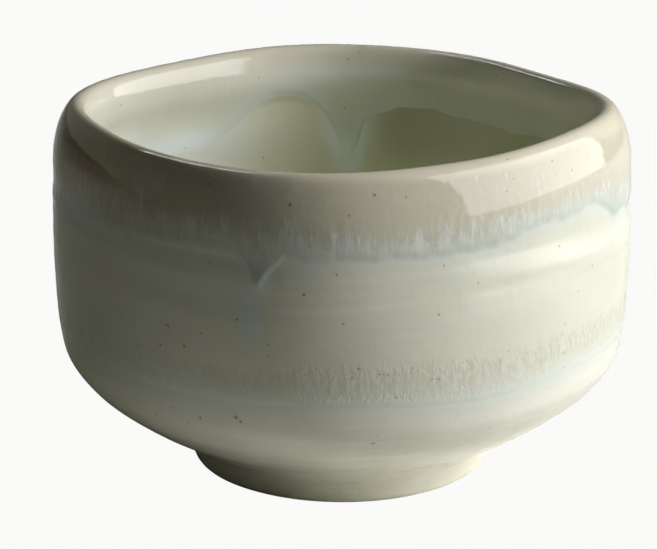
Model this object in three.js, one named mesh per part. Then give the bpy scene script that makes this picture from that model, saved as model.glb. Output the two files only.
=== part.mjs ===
// A wheel-thrown matcha bowl (chawan) with a softly squared, gently inturned mouth.
// Units are millimetres, +Z is up, and the foot stands on z = 0.
//
// The bowl is built as its real layers and pieces:
//   foot_ring    the kodai, a ring of fired stoneware that the bowl stands on
//   clay_body    the thrown stoneware wall and floor
//   inner_glaze  the liner coat inside
//   base_glaze   the first outer coat, over the foot and the lower curve
//   body_glaze   the second outer coat, over the belly
//   rim_glaze    the last coat, over the lip, on both sides of the wall
// Every coat shares its back surface with the clay and its edges with the next
// coat, point for point, so nothing overlaps and nothing is hidden between them.
import * as THREE from 'three';

// ---------------------------------------------------------------- dimensions
const SEGMENTS = 48;                 // facets around the bowl
const HEIGHT = 77.6;                 // foot to lip, before the lip's own waves
const COAT = 0.6;                    // glaze thickness

// Outer skin of the wheel profile, [radius, height], from the foot up to the lip.
const FOOT_PROFILE = [
  [30.80, 0.60], [31.75, 2.55], [32.95, 5.40], [33.42, 6.11],
];
const LOWER_WALL = [
  [38.13, 9.31], [43.21, 12.01], [49.14, 15.87], [54.85, 20.51], [58.27, 25.90],
];
const BELLY_WALL = [[59.17, 40.57], [58.90, 51.10]];
const SHOULDER_WALL = [[58.12, 67.58], [57.36, 71.44], [56.21, 74.53]];
const LIP = [
  [55.20, 76.48], [53.95, 77.52], [52.60, 77.55], [51.60, 76.85], [51.40, 75.30], [52.35, 71.05],
];
const INNER_WALL = [
  [54.13, 50.90], [54.13, 40.20], [53.25, 31.00], [51.00, 25.28], [46.95, 20.60], [40.75, 17.22],
  [33.00, 15.18], [17.00, 13.64], [11.15, 12.80], [0, 12.45],
];

// Foot ring: flat contact band, inner face and the recess it encloses.
const CONTACT_OUTER = 29.95;
const CONTACT_INNER = 24.50;
const RING_INNER = [[23.85, 0.75], [23.45, 3.40]];
const RING_TOP_INNER = 23.85;
const RECESS = [[22.20, 0.35], [12.00, 0.50], [4.40, 0.20], [0, -0.30]];   // [radius, rise above the joint]

// Mean heights of the three edges where one coat meets the next.
const LOWER_EDGE_Z = 31.0;
const RIM_EDGE_Z = 60.9;
const INNER_EDGE_Z = 63.6;

// Plan shape of the wall: relative radius by harmonic of the angle, [k, cos, sin].
// The foot is round, and the plan shape grows to its full share by PLAN_FULL_Z.
const PLAN = [
  [2, 0.0086, 0.0084], [3, 0.0110, 0.0124], [4, 0.0225, -0.0192], [5, 0.0036, 0.0042],
  [6, 0.0060, -0.0030], [7, 0.0062, 0.0037], [8, 0.0019, 0.0006],
];
const PLAN_START_Z = 6.22;
const PLAN_FULL_Z = 58.32;
const MOUTH_OFFSET = [-1.14, -0.42];         // mouth centre from foot centre
// Height of the lip around the mouth, in millimetres, [k, cos, sin].
const LIP_WAVE = [[1, 0.324, -0.111], [2, -0.136, 0.103], [3, 0.260, -0.235]];
const LIP_WAVE_START_Z = 39.2;

// ------------------------------------------------------------------ surfaces
const harmonic = (terms, a) => terms.reduce((sum, [k, c, s]) => sum + c * Math.cos(k * a) + s * Math.sin(k * a), 0);
const clamp01 = (t) => Math.min(1, Math.max(0, t));
const ease = (t) => t * t * (3 - 2 * t);

// A point of the wheel profile carried round to the angle a.
function place(radius, z, a) {
  const share = clamp01((z - PLAN_START_Z) / (PLAN_FULL_Z - PLAN_START_Z));
  const r = radius * (1 + share * harmonic(PLAN, a));
  const lift = ease(clamp01((z - LIP_WAVE_START_Z) / (HEIGHT - LIP_WAVE_START_Z))) * harmonic(LIP_WAVE, a);
  return [r * Math.cos(a) + share * MOUTH_OFFSET[0], r * Math.sin(a) + share * MOUTH_OFFSET[1], z + lift];
}

// Edges of the coats, as heights by angle.
const bump = (a, at, width) => {
  const d = Math.atan2(Math.sin(a - at), Math.cos(a - at)) / width;
  return Math.exp(-d * d);
};
const rad = (deg) => deg * Math.PI / 180;
const lowerEdge = (a) => LOWER_EDGE_Z + 0.5 * Math.sin(3 * a + 0.8) + 0.3 * Math.sin(7 * a);
const rimEdge = (a) => RIM_EDGE_Z + 0.6 * Math.sin(4 * a + 1.1) + 0.4 * Math.sin(9 * a + 0.4)
  - 5.2 * bump(a, rad(-105), rad(5)) - 2.6 * bump(a, rad(-17), rad(6)) - 3.0 * bump(a, rad(-170), rad(9));
const innerEdge = (a) => INNER_EDGE_Z + 0.7 * Math.sin(5 * a) + 2.2 * bump(a, rad(113), rad(16))
  - 5.0 * bump(a, rad(90), rad(7)) - 2.8 * bump(a, rad(-60), rad(8)) - 2.2 * bump(a, rad(-150), rad(9));

// ------------------------------------------------------------- shared rows
// Each row has an outward-facing skin point and the clay point behind it.
// A row is fixed, or follows one of the coat edges.
const skinPoints = [
  ...FOOT_PROFILE, ...LOWER_WALL, { edge: lowerEdge, side: 'outer' }, ...BELLY_WALL,
  { edge: rimEdge, side: 'outer' }, ...SHOULDER_WALL, ...LIP, { edge: innerEdge, side: 'inner' }, ...INNER_WALL,
];
const outerLine = [...LOWER_WALL, ...BELLY_WALL, ...SHOULDER_WALL];
const innerLine = [LIP[LIP.length - 1], ...INNER_WALL.slice(0, 4)].reverse();
function radiusAt(line, z) {
  for (let i = 1; i < line.length; i++) {
    if (z <= line[i][1]) {
      const [r0, z0] = line[i - 1];
      const [r1, z1] = line[i];
      return r0 + (r1 - r0) * (z - z0) / (z1 - z0);
    }
  }
  return line[line.length - 1][0];
}
const fixed = skinPoints.map((p) => (Array.isArray(p) ? p : null));
const neighbour = (i, step) => {
  let j = i + step;
  while (j >= 0 && j < fixed.length && !fixed[j]) j += step;
  return fixed[j] ?? null;
};
// Left-hand normal of the path: it points into the clay all the way round.
function inward(p, q) {
  const dx = q[0] - p[0];
  const dz = q[1] - p[1];
  const l = Math.hypot(dx, dz);
  return [-dz / l, dx / l];
}
function behind(i) {
  const p = fixed[i];
  if (i === 0) return [p[0] - COAT, p[1]];
  if (i === fixed.length - 1) return [0, p[1] - COAT];
  const a = inward(neighbour(i, -1), p);
  const b = inward(p, neighbour(i, 1));
  const n = [a[0] + b[0], a[1] + b[1]];
  const l = Math.hypot(n[0], n[1]);
  const reach = COAT / ((n[0] * a[0] + n[1] * a[1]) / l);
  return [p[0] + n[0] / l * reach, p[1] + n[1] / l * reach];
}
const rows = skinPoints.map((p, i) => {
  if (fixed[i]) {
    const back = behind(i);
    return { key: i, skin: () => p, clay: () => back };
  }
  const line = p.side === 'outer' ? outerLine : innerLine;
  const step = p.side === 'outer' ? -COAT : COAT;
  return {
    key: i,
    skin: (a) => { const z = p.edge(a); return [radiusAt(line, z), z]; },
    clay: (a) => { const z = p.edge(a); return [radiusAt(line, z) + step, z]; },
  };
});
const LOWER = skinPoints.findIndex((p) => p.edge === lowerEdge);
const RIM = skinPoints.findIndex((p) => p.edge === rimEdge);
const INNER = skinPoints.findIndex((p) => p.edge === innerEdge);
const JOINT = FOOT_PROFILE.length - 1;
const LAST = rows.length - 1;
const JOINT_Z = behind(JOINT)[1];

const skin = (i) => ({ key: rows[i].key + 0.5, at: rows[i].skin });
const clay = (i) => ({ key: rows[i].key, at: rows[i].clay });
const ring = (r, z, key) => ({ key, at: () => [r, z] });
const range = (from, to, make) => {
  const out = [];
  const step = from <= to ? 1 : -1;
  for (let i = from; i !== to + step; i += step) out.push(make(i));
  return out;
};

// ------------------------------------------------------------- closed bodies
// Turns a closed profile loop into a closed mesh. The loop runs with the solid
// on its left when the axis is on the left of the page.
function turned(loop) {
  const positions = [];
  const index = [];
  const starts = loop.map((p) => {
    const start = positions.length / 3;
    const pole = p.at(0)[0] === 0;
    for (let j = 0; j < (pole ? 1 : SEGMENTS); j++) {
      const a = 2 * Math.PI * j / SEGMENTS;
      const [r, z] = p.at(a);
      positions.push(...place(r, z, a));
    }
    return { start, pole, key: p.key };
  });
  for (let i = 0; i < loop.length; i++) {
    const p = starts[i];
    const q = starts[(i + 1) % loop.length];
    if (p.pole && q.pole) continue;
    for (let j = 0; j < SEGMENTS; j++) {
      const k = (j + 1) % SEGMENTS;
      const p0 = p.start + (p.pole ? 0 : j);
      const p1 = p.start + (p.pole ? 0 : k);
      const q0 = q.start + (q.pole ? 0 : j);
      const q1 = q.start + (q.pole ? 0 : k);
      if (p.pole) index.push(p0, q1, q0);
      else if (q.pole) index.push(p0, p1, q0);
      else if (p.key < q.key) index.push(p0, p1, q1, p0, q1, q0);
      else index.push(p0, p1, q0, p1, q1, q0);
    }
  }
  return { positions, index };
}

const bodies = {
  foot_ring: [
    ...range(0, JOINT, clay),
    ring(RING_TOP_INNER, JOINT_Z, -1), ring(...RING_INNER[1], -2), ring(...RING_INNER[0], -3),
    ring(CONTACT_INNER, 0, -4), ring(CONTACT_OUTER, 0, -5),
  ],
  clay_body: [
    ...range(JOINT, LAST, clay),
    ...RECESS.slice().reverse().map(([r, rise], i) => ring(r, JOINT_Z + rise, 200 - i)),
    ring(RING_TOP_INNER, JOINT_Z, -1),
  ],
  base_glaze: [...range(0, LOWER, skin), ...range(LOWER, 0, clay)],
  body_glaze: [...range(LOWER, RIM, skin), ...range(RIM, LOWER, clay)],
  rim_glaze: [...range(RIM, INNER, skin), ...range(INNER, RIM, clay)],
  inner_glaze: [...range(INNER, LAST, skin), ...range(LAST, INNER, clay)],
};

// ---------------------------------------------------------------- materials
const FINISH = {
  foot_ring: { color: 0x9a8468, roughness: 0.85 },
  clay_body: { color: 0xa8947a, roughness: 0.85 },
  base_glaze: { color: 0xcfcab4, roughness: 0.28 },
  body_glaze: { color: 0xc6c0a6, roughness: 0.26 },
  rim_glaze: { color: 0xc4b49c, roughness: 0.24 },
  inner_glaze: { color: 0xa9ab90, roughness: 0.2 },
};

// ----------------------------------------------------------------- assembly
const made = Object.fromEntries(Object.entries(bodies).map(([name, loop]) => [name, turned(loop)]));
// The origin is under the middle of the bowl's bounding box, on the table.
let low = [Infinity, Infinity];
let high = [-Infinity, -Infinity];
for (const { positions } of Object.values(made)) {
  for (let i = 0; i < positions.length; i += 3) {
    for (const k of [0, 1]) {
      low[k] = Math.min(low[k], positions[i + k]);
      high[k] = Math.max(high[k], positions[i + k]);
    }
  }
}
const middle = [(low[0] + high[0]) / 2, (low[1] + high[1]) / 2];

const bowl = new THREE.Group();
bowl.name = 'matcha_bowl';
for (const [name, { positions, index }] of Object.entries(made)) {
  const shifted = new Float32Array(positions.length);
  for (let i = 0; i < positions.length; i += 3) {
    shifted[i] = positions[i] - middle[0];
    shifted[i + 1] = positions[i + 1] - middle[1];
    shifted[i + 2] = positions[i + 2];
  }
  const geometry = new THREE.BufferGeometry();
  geometry.setAttribute('position', new THREE.BufferAttribute(shifted, 3));
  geometry.setIndex(index);
  geometry.computeVertexNormals();
  const mesh = new THREE.Mesh(geometry, new THREE.MeshStandardMaterial({ ...FINISH[name], metalness: 0 }));
  mesh.name = name;
  bowl.add(mesh);
}

export default bowl;
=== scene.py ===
import math

import bpy
import numpy as np
from mathutils import Matrix, Vector


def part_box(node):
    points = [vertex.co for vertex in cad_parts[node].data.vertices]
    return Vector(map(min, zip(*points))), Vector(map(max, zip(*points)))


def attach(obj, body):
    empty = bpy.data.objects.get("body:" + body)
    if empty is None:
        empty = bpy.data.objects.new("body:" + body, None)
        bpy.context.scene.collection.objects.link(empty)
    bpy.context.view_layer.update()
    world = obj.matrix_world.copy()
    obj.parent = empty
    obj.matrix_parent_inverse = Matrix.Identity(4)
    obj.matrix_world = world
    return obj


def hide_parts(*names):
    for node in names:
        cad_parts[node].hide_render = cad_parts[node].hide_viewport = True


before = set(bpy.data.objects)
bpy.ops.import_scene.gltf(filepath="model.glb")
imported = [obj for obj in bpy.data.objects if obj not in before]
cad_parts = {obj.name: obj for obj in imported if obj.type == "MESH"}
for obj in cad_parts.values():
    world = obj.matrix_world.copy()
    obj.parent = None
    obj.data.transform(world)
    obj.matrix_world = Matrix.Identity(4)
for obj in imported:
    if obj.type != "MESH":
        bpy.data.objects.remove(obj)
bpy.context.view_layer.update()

foot_lo, foot_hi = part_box("foot_ring")
FOOT = (500.0 * (foot_lo.x + foot_hi.x), 500.0 * (foot_lo.y + foot_hi.y))   # foot centre, mm
MM = 0.001

# ------------------------------------------------------------------ camera
cam_data = bpy.data.cameras.new("camera")
cam_data.sensor_width = 36.0
cam_data.lens = 162.654
cam_data.clip_start, cam_data.clip_end = 0.01, 50.0
cam_data.dof.use_dof = False
cam = bpy.data.objects.new("camera", cam_data)
bpy.context.scene.collection.objects.link(cam)
pitch, yaw, roll = 0.3061, -0.0045, 0.0045
fwd = Vector((math.sin(yaw) * math.cos(pitch), math.cos(yaw) * math.cos(pitch), -math.sin(pitch)))
rt = fwd.cross(Vector((0, 0, 1))).normalized()
up = rt.cross(fwd)
c_, s_ = math.cos(roll), math.sin(roll)
rt, up = c_ * rt + s_ * up, -s_ * rt + c_ * up
rot = Matrix((rt, up, -fwd)).transposed().to_4x4()
cam.matrix_world = Matrix.Translation(Vector((FOOT[0] * MM, FOOT[1] * MM - 0.600611, 0.229885))) @ rot
bpy.context.scene.camera = cam

# ------------------------------------------------- the bowl's own curves (mm)
PLAN = [(2, .0086, .0084), (3, .0110, .0124), (4, .0225, -.0192), (5, .0036, .0042),
        (6, .0060, -.0030), (7, .0062, .0037), (8, .0019, .0006)]
MOUTH_OFFSET = (-1.14, -0.42)
LIP_WAVE = [(1, .324, -.111), (2, -.136, .103), (3, .260, -.235)]
PLAN_START, PLAN_FULL, WAVE_START, HEIGHT = 6.22, 58.32, 39.2, 77.6
COAT = 0.6


def f(z):
    """Height on the first survey of the bowl, to millimetres above the table."""
    return (np.asarray(z, float) + 0.45) * 0.97


# Outer skin from the foot's edge up the wall, over the lip, and down inside to the axis.
OUT = [(30.35, 0.22), (30.95, 0.72), (31.42, 1.50), (31.78, 2.55), (32.20, 3.80), (32.88, 5.25), (33.42, 6.11),
       (35.21, 7.32), (38.13, 9.31), (43.21, 12.01), (49.14, 15.87), (54.85, 20.51), (58.27, 25.90),
       (59.05, 32.85), (59.17, 40.57), (59.07, 48.29), (58.64, 53.98), (58.41, 56.70), (58.39, 59.12),
       (58.32, 62.18), (58.12, 67.58), (57.36, 71.44), (56.21, 74.53), (55.34, 76.05), (54.51, 77.07),
       (53.64, 77.55)]
INN = [(52.72, 77.55), (52.02, 77.24), (51.50, 76.66), (51.02, 75.70), (50.64, 74.70), (50.20, 72.80),
       (50.00, 71.00), (50.25, 69.20), (51.20, 66.40), (52.40, 63.00), (53.25, 58.60), (53.80, 54.00), (54.10, 48.60),
       (54.22, 44.10), (54.03, 37.30), (53.25, 31.00), (51.02, 25.27), (46.95, 20.61), (40.74, 17.22),
       (32.98, 15.18), (24.25, 14.11), (16.98, 13.63), (14.07, 13.24), (11.16, 12.80), (5.82, 12.56), (0.0, 12.46)]


def pchip(x, y, q):
    x, y = np.asarray(x, float), np.asarray(y, float)
    h, d = np.diff(x), np.diff(y) / np.diff(x)
    m = np.zeros_like(y)
    w1, w2 = 2 * h[1:] + h[:-1], h[1:] + 2 * h[:-1]
    same = d[:-1] * d[1:] > 0
    safe0, safe1 = np.where(same, d[:-1], 1.0), np.where(same, d[1:], 1.0)
    m[1:-1] = np.where(same, (w1 + w2) / (w1 / safe0 + w2 / safe1), 0.0)
    m[0], m[-1] = d[0], d[-1]
    q = np.clip(q, x[0], x[-1])
    i = np.clip(np.searchsorted(x, q) - 1, 0, len(x) - 2)
    t = (q - x[i]) / h[i]
    return ((1 + 2 * t) * (1 - t) ** 2 * y[i] + t * (1 - t) ** 2 * h[i] * m[i]
            + t * t * (3 - 2 * t) * y[i + 1] + t * t * (t - 1) * h[i] * m[i + 1])


def blur(a, sigma, mode="reflect"):
    k = int(4 * sigma) + 1
    w = np.exp(-0.5 * (np.arange(-k, k + 1) / sigma) ** 2)
    w /= w.sum()
    if mode == "odd":
        pad = np.r_[2 * a[0] - a[k:0:-1], a, 2 * a[-1] - a[-2:-k - 2:-1]]
    else:
        pad = np.r_[a[k:0:-1], a, a[-2:-k - 2:-1]]
    return np.convolve(pad, w, mode="valid")


pts = np.array(OUT + INN)
arc = np.r_[0, np.cumsum(np.hypot(*np.diff(pts, axis=0).T))]
fine = np.arange(0, arc[-1], 0.05)
fine = np.r_[fine, arc[-1]]
pr, pz = pchip(arc, pts[:, 0], fine), pchip(arc, pts[:, 1], fine)
pr, pz = blur(pr, 11, "odd"), blur(pz, 11, "odd")
pr[-1] = 0.0
PS = np.r_[0, np.cumsum(np.hypot(np.diff(pr), np.diff(pz)))]
PR, PZ = pr, pz
tr, tz = np.gradient(PR, PS), np.gradient(PZ, PS)
tl = np.hypot(tr, tz)
PNR, PNZ = blur(tz / tl, 5), blur(-tr / tl, 5)
TOP = int(np.argmax(PZ))
S_TOP, S_END = PS[TOP], PS[-1]


def prof(s):
    return (np.interp(s, PS, PR), np.interp(s, PS, PZ), np.interp(s, PS, PNR), np.interp(s, PS, PNZ))


def s_out(z):
    return np.interp(z, PZ[:TOP], PS[:TOP])


def s_in(z):
    return np.interp(-np.asarray(z), -PZ[TOP:], PS[TOP:])


def harm(terms, th):
    return sum(c * np.cos(k * th) + s * np.sin(k * th) for k, c, s in terms)


def ease(t):
    t = np.clip(t, 0, 1)
    return t * t * (3 - 2 * t)


def sm(a, b, x):
    return ease((x - a) / (b - a))


def place(rho, z, th):
    share = np.clip((z - PLAN_START) / (PLAN_FULL - PLAN_START), 0, 1)
    r = rho * (1 + share * harm(PLAN, th))
    lift = ease((z - WAVE_START) / (HEIGHT - WAVE_START)) * harm(LIP_WAVE, th)
    return np.stack([r * np.cos(th) + share * MOUTH_OFFSET[0] + FOOT[0],
                     r * np.sin(th) + share * MOUTH_OFFSET[1] + FOOT[1], z + lift], -1)


def table(rows):
    """A smooth closed curve through (angle in degrees, value) rows."""
    rows = sorted(((a + 180.0) % 360.0 - 180.0, v) for a, v in rows)
    a = np.array([r[0] for r in rows])
    v = np.array([r[1] for r in rows], float)
    a3, v3 = np.r_[a - 360, a, a + 360], np.r_[v, v, v]

    def at(th):
        d = (np.degrees(th) + 180.0) % 360.0 - 180.0
        return pchip(a3, v3, d)
    return at


def noise1(th, seed, k0, k1, n=14):
    g = np.random.default_rng(seed)
    out = np.zeros_like(th)
    for _ in range(n):
        out = out + np.cos(g.integers(k0, k1 + 1) * th + g.uniform(0, 2 * np.pi)) * g.uniform(0.5, 1.0)
    return out / math.sqrt(n * 0.3)


def noise2(th, s, seed, kmax, wave, n=22):
    """Smooth noise on the wall, about unit size: kmax turns around, shortest wavelength up the wall in mm."""
    g = np.random.default_rng(seed)
    out = np.zeros(np.broadcast(th, s).shape)
    for _ in range(n):
        k = int(round(g.uniform(-kmax, kmax)))
        w = g.uniform(0.1, 1.0) * 2 * np.pi / wave
        out = out + np.cos(k * th + w * s + g.uniform(0, 2 * np.pi)) * g.uniform(0.5, 1.0)
    return out / math.sqrt(n * 0.3)


def turn(th, deg, width):
    """Bell around an angle, with its half width in degrees."""
    d = (np.degrees(th) - deg + 180.0) % 360.0 - 180.0
    return np.exp(-(d / width) ** 2)


# --------------------------------------------------- where the coats run to
RIM_RUN = [(-167.4, 57.8), (-156.3, 59.5), (-139.4, 61.7), (-126.9, 62.4), (-118.7, 62.8), (-110.1, 62.7),
           (-107.4, 61.4), (-105.6, 59.1), (-104.3, 56.9), (-102.6, 59.1), (-100.4, 61.6), (-99.2, 62.7),
           (-94.7, 62.8), (-89.1, 62.8), (-81.6, 62.4), (-77.6, 62.5), (-73.5, 61.6), (-63.8, 61.7),
           (-54.0, 62.0), (-43.1, 63.9), (-32.4, 63.3), (-26.6, 64.2), (-19.7, 61.7), (-16.4, 59.3),
           (-12.8, 59.9), (-6.3, 59.1), (2, 60.6), (12, 62.0), (24, 61.4), (33, 62.2), (38, 60.4), (41.5, 56.8),
           (45, 60.6), (52, 62.6), (66, 62.0), (80, 61.2), (94, 62.6), (108, 61.6), (118, 62.4), (123, 60.2),
           (127, 58.8), (131, 60.4), (142, 61.8), (156, 60.2), (168, 58.6), (180, 57.4)]
FUR_TOP = [(-175, 64.6), (-156, 67.6), (-140, 70.6), (-131, 71.7), (-122, 70.8), (-113, 71.7), (-104, 70.1),
           (-95, 69.1), (-85, 69.0), (-73, 68.2), (-58, 67.8), (-44, 67.6), (-28, 68.2), (-14, 66.4), (4, 66.0),
           (24, 68.2), (42, 66.4), (60, 69.0), (84, 68.4), (106, 69.8), (128, 67.8), (148, 68.6), (168, 65.8)]
LINER_RUN = [(20, 65.2), (31.6, 65.0), (42.5, 63.8), (51.9, 64.3), (60, 64.5), (67.3, 65.6), (73.9, 65.4),
             (77.8, 63.9), (81, 63.0), (83.4, 60.6), (85.2, 55.5), (87, 52.6), (88.8, 54.8), (91, 59.6),
             (93, 62.8), (96.4, 65.8), (100.6, 67.8), (105.5, 68.2), (109, 67.4), (113, 64.4), (118, 60.6),
             (127, 57.4), (138, 57.8), (148, 60.2), (160, 62.4), (172, 63.6), (185, 64.0), (200, 62.2),
             (212, 59.4), (219, 58.0), (227, 62.0), (245, 64.6), (262, 63.2), (275, 61.0), (283, 57.0),
             (290, 61.8), (305, 64.2), (322, 63.0), (338, 65.2), (350, 64.4), (361, 64.6)]
RIDGE = [(-180, 56.5), (-140, 57.6), (-100, 58.0), (-75, 57.9), (-57.8, 57.2), (-42.8, 56.1), (-24.3, 54.1),
         (0, 53.4), (40, 54.6), (90, 56.6), (140, 56.8)]
rim_run, fur_top, liner_run, ridge_z = table(RIM_RUN), table(FUR_TOP), table(LINER_RUN), table(RIDGE)


def T_a(th):
    z = 31.0 + 0.5 * np.sin(3 * th + 0.8) + 0.3 * np.sin(7 * th) + 0.10 * noise1(th, 3, 22, 60)
    return s_out(z)


def T_b(th):
    return s_out(f(rim_run(th)) + 0.13 * noise1(th, 5, 24, 80))


def T_f(th):
    return s_out(f(fur_top(th)))


def T_c(th):
    return s_in(f(liner_run(th)) + 0.10 * noise1(th, 7, 16, 50))


DRIPS = [(-104.3, 58.0, 0.30, 1.7, 2.3), (-16.2, 60.4, 0.20, 2.4, 2.0), (41.5, 58.4, 0.34, 1.9, 2.6),
         (127, 60.0, 0.24, 2.4, 2.0), (180, 59.0, 0.16, 6.0, 2.6)]
RUNS_IN = [(87, 54.6, 0.42, 2.6, 3.4), (131, 59.6, 0.22, 9.0, 4.0), (219, 59.6, 0.34, 3.0, 3.2),
           (283, 58.8, 0.40, 2.6, 3.2)]


def relief(th, s):
    """How far the skin stands proud of the wheel profile, in mm."""
    rho, z, _, _ = prof(s)
    sa, sb, sc = T_a(th), T_b(th), T_c(th)
    outer = 1 - sm(S_TOP - 6, S_TOP - 1, s)
    inner = sm(S_TOP + 3, S_TOP + 9, s)
    up_wall = sm(13, 24, s) * outer
    d = 0.0
    # the hand-thrown wall: slow unevenness and a spiral of throwing lines
    d = d + 0.10 * noise2(th, s, 11, 4, 46) * sm(8, 22, s) * (1 - sm(S_END - 40, S_END - 8, s))
    lines = (np.sin(2 * np.pi * s / 7.3 + th + 0.5 * np.sin(2 * th)) * (0.6 + 0.4 * np.sin(0.11 * s + 2 * th))
             + 0.45 * np.sin(2 * np.pi * s / 2.9 - th + 1.3 * np.sin(th + 1)) * (0.5 + 0.5 * np.sin(0.23 * s + th)))
    d = d + 0.035 * lines * up_wall
    lines_in = np.sin(2 * np.pi * s / 8.6 - th) * (0.6 + 0.4 * np.sin(0.09 * s + th))
    d = d + 0.055 * lines_in * inner * (1 - sm(S_END - 30, S_END - 12, s))
    # ridge under the rim coat, with the soft groove over it
    zr = f(ridge_z(th))
    strong = 0.42 + 0.58 * np.maximum(turn(th, -38, 30), 0.6 * turn(th, -175, 40))
    d = d + strong * outer * (0.32 * np.exp(-((z - zr + 0.3) / 2.3) ** 2) - 0.12 * np.exp(-((z - zr - 4.4) / 2.4) ** 2))
    # each later coat stands a little proud of the one under it, with a round roll at its edge
    db, dc = s - sb, sc - s
    da = s - sa
    rim_edge = np.minimum(db, dc)
    d = d + np.where(s < S_TOP, 0.13 * (sm(-0.3, 2.0, db) - 1) * np.exp(-np.maximum(0, -db) / 6.0), 0)
    flush = 1 - 0.75 * turn(th, 138, 26)
    d = d + np.where(s >= S_TOP, 0.19 * flush * (sm(-0.3, 2.4, dc) - 1) * np.exp(-np.maximum(0, -dc) / 8.0), 0)
    d = d + 0.030 * np.exp(-((rim_edge - 1.5) / 1.0) ** 2)
    d = d + 0.07 * (sm(-0.2, 1.6, da) - 1) * np.exp(-np.maximum(0, -da) / 5.0) * (1 - sm(20, 40, -da))
    d = d + 0.02 * np.exp(-((da - 1.0) / 0.8) ** 2)
    # the ends of the runs are fat
    for deg, zg, h, wd, ws in DRIPS:
        d = d + outer * h * turn(th, deg, wd) * np.exp(-((s - s_out(f(zg))) / ws) ** 2)
    for deg, zg, h, wd, ws in RUNS_IN:
        d = d + inner * h * turn(th, deg, wd) * np.exp(-((s - s_in(f(zg))) / ws) ** 2)
    # fine vertical ripple where the rim coat and the body coat have run
    fur = sm(0.3, 2.0, db) * (1 - sm(0, 3.5, s - T_f(th))) * outer
    low = sm(1.5, 3.5, da) * (1 - sm(7.0, 9.5, da)) * outer
    d = d + 0.012 * (fur + 0.8 * low) * noise1(th, 17, 50, 170, 26)
    # thin horizontal throwing lines under the body coat
    for zg, h in ((30.3, 0.035), (29.4, 0.028)):
        d = d + h * np.exp(-((s - s_out(f(zg)) - 0.25 * np.sin(2 * th)) / 0.42) ** 2)
    # a small fold of glaze on the near lip
    d = d + 0.10 * turn(th, -98.4, 1.25) * np.exp(-((s - s_out(f(76.9)) - 0.35 * turn(th, -97.6, 0.7)) / 0.28) ** 2)
    # the base coat thins out at the foot's edge
    d = d - 0.24 * np.exp(-s / 0.35)
    return d


# ------------------------------------------------------------- marks in the glaze
SPECKS = [(-109.5, 29.0, 1.0), (-98.4, 74.1, .8), (-95.7, 56.3, .7), (-125.7, 41.6, .7), (-119.9, 42.4, .55),
          (-108.6, 28.1, .6), (-83.4, 24.0, .6), (-70.1, 36.9, .5)]
FLAT_SPECKS = [(640, 332, .6), (838, 331, .55), (1028, 331, .6), (565, 375, .5), (488, 376, .6), (526, 412, .7),
               (766, 268, .7), (700, 380, .5), (865, 432, .6), (970, 440, .55), (1010, 470, .5), (550, 572, .7),
               (435, 597, .6), (895, 612, .5), (740, 77, .7), (850, 100, .5), (900, 60, .7), (965, 70, .5),
               (575, 53, .5), (1200, 92, .45), (520, 592, .5), (352, 556, .4), (488, 562, .45), (905, 447, .5),
               (852, 452, .5), (920, 450, .45), (827, 225, .5), (1045, 228, .5)]
marks = [(math.radians(a), float(s_out(f(z))), w) for a, z, w in SPECKS]
G_ARC_LIP = 79.5


def add_flat(col, row, w):
    """A speck given by its place on the rolled-out outside wall."""
    a = -172 + 0.09947 * col
    s_first = 95 - 0.0951 * row
    marks.append((math.radians(a), s_first, w))


for col, row, w in FLAT_SPECKS:
    add_flat(col, row, w)
# arc length on the first survey, to arc length here
SURVEY = np.array([(31.75, .35), (32.45, 1.5), (33.0, 3.2), (34.0, 5.1), (34.45, 5.85), (36.3, 7.1), (39.31, 9.15),
                   (44.55, 11.93), (50.66, 15.91), (56.55, 20.69), (60.07, 26.25), (60.88, 33.42), (61.0, 41.37),
                   (60.9, 49.33), (60.45, 55.2), (60.22, 58.0), (60.2, 60.5), (60.12, 63.65), (59.92, 69.22),
                   (59.13, 73.2), (57.95, 76.38), (57.05, 77.95), (56.2, 79.0)])
SA = np.r_[0, np.cumsum(np.hypot(*np.diff(SURVEY, axis=0).T))]
marks = marks[:len(SPECKS)] + [(a, float(s_out(f(np.interp(s0, SA, SURVEY[:, 1])))), w)
                               for a, s0, w in marks[len(SPECKS):]]
g = np.random.default_rng(41)
for _ in range(34):        # the sides and the back, in the same density
    marks.append((math.radians(g.uniform(-5, 185)), float(g.uniform(16, 84)), float(g.uniform(.35, .8))))
for _ in range(16):        # inside
    marks.append((math.radians(g.uniform(0, 360)), float(g.uniform(S_TOP + 8, S_END - 30)), float(g.uniform(.3, .6))))


def speck_field(th, s):
    rho = prof(s)[0]
    best = np.full(np.broadcast(th, s).shape, 1e9)
    vec = np.zeros(best.shape + (3,))
    for a, s0, w in marks:
        d = (th - a + np.pi) % (2 * np.pi) - np.pi
        dx, dz = d * rho / w, (s - s0) / w
        r = np.hypot(dx, dz)
        near = r < best
        best = np.where(near, r, best)
        v = np.stack([dx, dz, np.maximum(0, r - 1.6) * 4.0], -1)
        vec[near] = v[near]
    return np.clip(vec, -9, 9)


# ------------------------------------------------------------------ meshes
N = 720


def columns(n):
    return np.arange(n) * 2 * np.pi / n


def skin(th, s):
    rho, z, nr, nz = prof(s)
    d = relief(th, s)
    return place(np.maximum(rho + d * nr, 0.0), z + d * nz, th)


def clay(th, s, deep=COAT):
    rho, z, nr, nz = prof(s)
    return place(np.maximum(rho - deep * nr, 0.0), z - deep * nz, th)


def spaced(n, ends=0.0):
    """n+1 values from 0 to 1, closer together towards both ends."""
    t = np.linspace(0, 1, n + 1)
    return t + ends * (np.sin(2 * np.pi * t) / (2 * np.pi)) * -1


def grid_normals(P, closed_at_axis=False):
    du = np.roll(P, -1, 1) - np.roll(P, 1, 1)
    dv = np.gradient(P, axis=0)
    n = np.cross(du, dv)
    l = np.linalg.norm(n, axis=-1, keepdims=True)
    n = n / np.maximum(l, 1e-12)
    return n


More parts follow.
